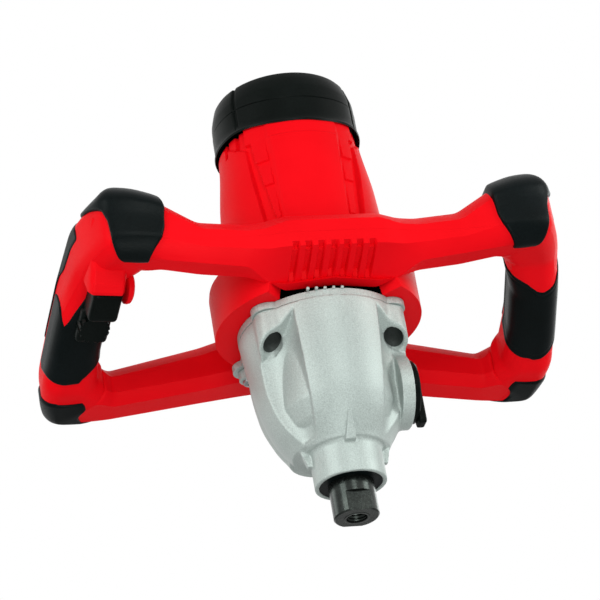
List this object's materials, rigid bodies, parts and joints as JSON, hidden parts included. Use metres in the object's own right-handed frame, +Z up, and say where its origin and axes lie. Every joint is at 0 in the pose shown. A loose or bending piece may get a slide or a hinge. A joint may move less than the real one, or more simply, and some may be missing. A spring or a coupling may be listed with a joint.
{
  "type": "two-handed mixing drill",
  "caption": "Upright mixing drill with a closed two-handed frame, motor barrel, cast gear housing, side gear selector, sloped grips with trigger and a threaded mixer spindle.",
  "frame": {"origin": "centre of the spindle's lower end face, at the mouth of its threaded socket", "axes": "+Z up along the spindle, -Y towards the front yoke, +X towards the side of the gear selector"},
  "size_m": [0.31, 0.1613, 0.273],
  "materials": {
    "red_plastic": "satin",
    "black_plastic": "grained",
    "black_rubber": "matte",
    "cast_aluminium": "painted grain",
    "dark_steel": "black oxide",
    "bright_steel": "ground",
    "screw_steel": "zinc plated",
    "lamination_steel": "laminated",
    "copper": "enamelled wire",
    "brass_sheet": "folded sheet",
    "carbon": "sintered"
  },
  "bodies": {
    "frame": {"air_baffle": "black_plastic", "armature_lower_bearing": "bright_steel", "armature_upper_bearing": "bright_steel", "bearing_bridge": "black_plastic", "bearing_plate": "cast_aluminium", "bracket_screws": "screw_steel", "brush_holders": "brass_sheet", "brush_springs": "bright_steel", "cable_gland": "black_plastic", "cap_screws": "screw_steel", "carbon_brushes": "carbon", "field_coils": "copper", "frame_screws": "screw_steel", "gear_bracket": "cast_aluminium", "gear_housing": "cast_aluminium", "gear_housing_screws": "screw_steel", "handle_lower_shell": "red_plastic", "handle_screws": "screw_steel", "handle_upper_shell": "red_plastic", "layshaft_lower_bearing": "bright_steel", "layshaft_upper_bearing": "bright_steel", "left_front_bumper": "black_rubber", "left_lower_grip_pad": "black_rubber", "left_rear_bumper": "black_rubber", "left_upper_grip_pad": "black_rubber", "motor_housing": "red_plastic", "right_front_bumper": "black_rubber", "right_lower_grip_pad": "black_rubber", "right_rear_bumper": "black_rubber", "right_upper_grip_pad": "black_rubber", "spindle_lower_bearing": "bright_steel", "spindle_seal": "black_rubber", "spindle_upper_bearing": "bright_steel", "stator_core": "lamination_steel", "switch_body": "black_plastic", "top_cap": "black_plastic", "trigger_bezel": "black_plastic"},
    "armature": {"armature_shaft": "bright_steel", "armature_core": "lamination_steel", "armature_windings": "copper", "commutator": "copper", "cooling_fan": "black_plastic"},
    "layshaft_set": {"layshaft": "bright_steel", "layshaft_pinion": "bright_steel", "layshaft_wheel": "bright_steel"},
    "spindle_set": {"spindle": "dark_steel", "spindle_spacer": "bright_steel", "spindle_circlip": "bright_steel", "low_gear": "bright_steel"},
    "fast_gear": {"high_gear": "bright_steel"},
    "sleeve": {"shift_sleeve": "bright_steel"},
    "fork": {"shift_fork": "dark_steel"},
    "selector": {"selector_knob": "black_plastic", "selector_shaft": "dark_steel"},
    "trigger_set": {"trigger": "black_plastic"},
    "dial": {"speed_dial": "black_plastic"},
    "lock": {"lock_button": "red_plastic"}
  },
  "joints": [
    {"name": "armature_spin", "type": "hinge", "parent": "frame", "child": "armature", "pos_m": [0, 0.009, 0.15], "axis": [0, 0, 1], "continuous": true},
    {"name": "layshaft_spin", "type": "hinge", "parent": "frame", "child": "layshaft_set", "pos_m": [0, 0.0375, 0.09], "axis": [0, 0, 1], "continuous": true},
    {"name": "spindle_spin", "type": "hinge", "parent": "frame", "child": "spindle_set", "pos_m": [0, 0, 0.05], "axis": [0, 0, 1], "continuous": true},
    {"name": "fast_gear_spin", "type": "hinge", "parent": "frame", "child": "fast_gear", "pos_m": [0, 0, 0.068], "axis": [0, 0, 1], "continuous": true},
    {"name": "sleeve_shift", "type": "slide", "parent": "spindle_set", "child": "sleeve", "axis": [0, 0, -1], "range_m": [0, 0.0026]},
    {"name": "fork_shift", "type": "slide", "parent": "frame", "child": "fork", "axis": [0, 0, -1], "range_m": [0, 0.0026]},
    {"name": "selector_turn", "type": "hinge", "parent": "frame", "child": "selector", "pos_m": [0.044, 0, 0.0762], "axis": [1, 0, 0], "range_deg": [0, 180]},
    {"name": "trigger_press", "type": "slide", "parent": "frame", "child": "trigger_set", "axis": [-0.0566, 0.4028, 0.9135], "range_m": [0, 0.006], "stiffness_N_per_m": 400, "springref_m": -0.004},
    {"name": "speed_dial_turn", "type": "hinge", "parent": "trigger_set", "child": "dial", "pos_m": [-0.13266, 0.01538, 0.15003], "axis": [-0.0566, 0.4028, 0.9135], "range_deg": [0, 270]},
    {"name": "lock_press", "type": "slide", "parent": "frame", "child": "lock", "axis": [-0.8293, -0.3219, -0.4568], "range_m": [0, 0.0035], "stiffness_N_per_m": 300, "springref_m": -0.003}
  ],
  "couplings": [
    {"joint": "layshaft_spin", "follows": "armature_spin", "ratio": -0.23913},
    {"joint": "spindle_spin", "follows": "armature_spin", "ratio": 0.075515},
    {"joint": "fast_gear_spin", "follows": "armature_spin", "ratio": 0.13451},
    {"joint": "fork_shift", "follows": "sleeve_shift", "ratio": 1},
    {"joint": "selector_turn", "follows": "sleeve_shift", "rad_per_m": 1208.3}
  ]
}
